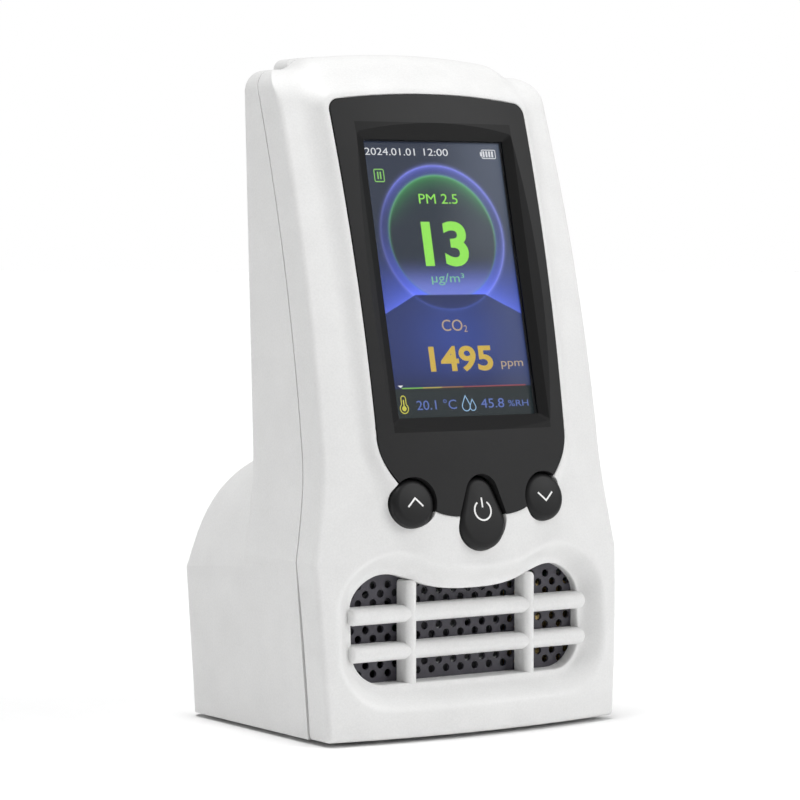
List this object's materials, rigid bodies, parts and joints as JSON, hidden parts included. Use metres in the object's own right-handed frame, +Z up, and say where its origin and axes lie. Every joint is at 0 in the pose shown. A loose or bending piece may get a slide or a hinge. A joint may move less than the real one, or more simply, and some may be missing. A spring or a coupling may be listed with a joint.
{
  "type": "air quality monitor",
  "caption": "Desktop air quality monitor: upright white case with a tall colour display, round and egg-shaped keys, a barred air intake and a domed foot behind.",
  "frame": {"origin": "centre of the footprint, on the surface that the rubber feet stand on", "axes": "+Z up, -Y out of the display, +X to the right of a viewer who faces the display"},
  "size_m": [0.0884, 0.0692, 0.163],
  "materials": {
    "case_white": "white ABS, smooth moulded front and fine spark texture on the sides and back",
    "bezel_black": "high gloss black",
    "clear_window": "clear polished acrylic",
    "lcd_face": "lit colour display with a polarised face",
    "backlight_frame": "moulded frame",
    "flex_film": "polyimide film",
    "key_rubber": "soft-touch black with white printed icons",
    "plunger_plastic": "moulded",
    "switch_steel": "stamped cover",
    "board_green": "solder mask",
    "chip_black": "moulded epoxy",
    "buzzer_black": "moulded",
    "connector_ivory": "nylon",
    "mesh_dark": "dark satin coating",
    "foam_black": "closed-cell foam",
    "sensor_shell": "satin shield",
    "fan_black": "moulded",
    "laser_brass": "turned",
    "co2_gold": "gold plated",
    "cell_wrap": "shrink wrap",
    "cradle_black": "moulded",
    "wire_silicone": "silicone insulation",
    "usb_steel": "nickel plated shell",
    "screw_steel": "zinc plated",
    "foot_rubber": "moulded",
    "plate_grey": "blank satin label"
  },
  "bodies": {
    "case": {"front_cover": "case_white", "rear_cover": "case_white", "display_bezel": "bezel_black", "display_window": "clear_window", "lcd_panel": "lcd_face", "lcd_backlight": "backlight_frame", "lcd_flex": "flex_film", "set_switch": "switch_steel", "enter_switch": "switch_steel", "memory_switch": "switch_steel", "main_board": "board_green", "pm_board": "board_green", "co2_board": "board_green", "climate_board": "board_green", "charge_board": "board_green", "board_chips": "chip_black", "charge_chip": "chip_black", "light_detector": "chip_black", "climate_sensor": "chip_black", "buzzer": "buzzer_black", "battery_connector": "connector_ivory", "sensor_connector": "connector_ivory", "pm_socket": "connector_ivory", "intake_mesh": "mesh_dark", "intake_gasket": "foam_black", "pm_sensor_case": "sensor_shell", "pm_sensor_lid": "sensor_shell", "fan_frame": "fan_black", "laser_diode": "laser_brass", "co2_chamber": "co2_gold", "battery_cell": "cell_wrap", "battery_cradle": "cradle_black", "battery_strap": "cradle_black", "battery_leads": "wire_silicone", "sensor_leads": "wire_silicone", "usb_socket": "usb_steel", "case_screws": "screw_steel", "board_screws": "screw_steel", "rubber_feet": "foot_rubber", "rating_plate": "plate_grey"},
    "set_key": {"set_button": "key_rubber", "set_plunger": "plunger_plastic"},
    "enter_key": {"enter_button": "key_rubber", "enter_plunger": "plunger_plastic"},
    "memory_key": {"memory_button": "key_rubber", "memory_plunger": "plunger_plastic"},
    "fan": {"fan_rotor": "fan_black"}
  },
  "joints": [
    {"name": "set_press", "type": "slide", "parent": "case", "child": "set_key", "axis": [0, 0.974, -0.2267], "range_m": [0, 0.0007], "stiffness_N_per_m": 800, "springref_m": -0.0006},
    {"name": "enter_press", "type": "slide", "parent": "case", "child": "enter_key", "axis": [0, 0.974, -0.2267], "range_m": [0, 0.0007], "stiffness_N_per_m": 800, "springref_m": -0.0006},
    {"name": "memory_press", "type": "slide", "parent": "case", "child": "memory_key", "axis": [0, 0.974, -0.2267], "range_m": [0, 0.0007], "stiffness_N_per_m": 800, "springref_m": -0.0006},
    {"name": "fan_spin", "type": "hinge", "parent": "case", "child": "fan", "pos_m": [-0.0213, -0.016, 0.0222], "axis": [0, 1, 0], "continuous": true}
  ]
}
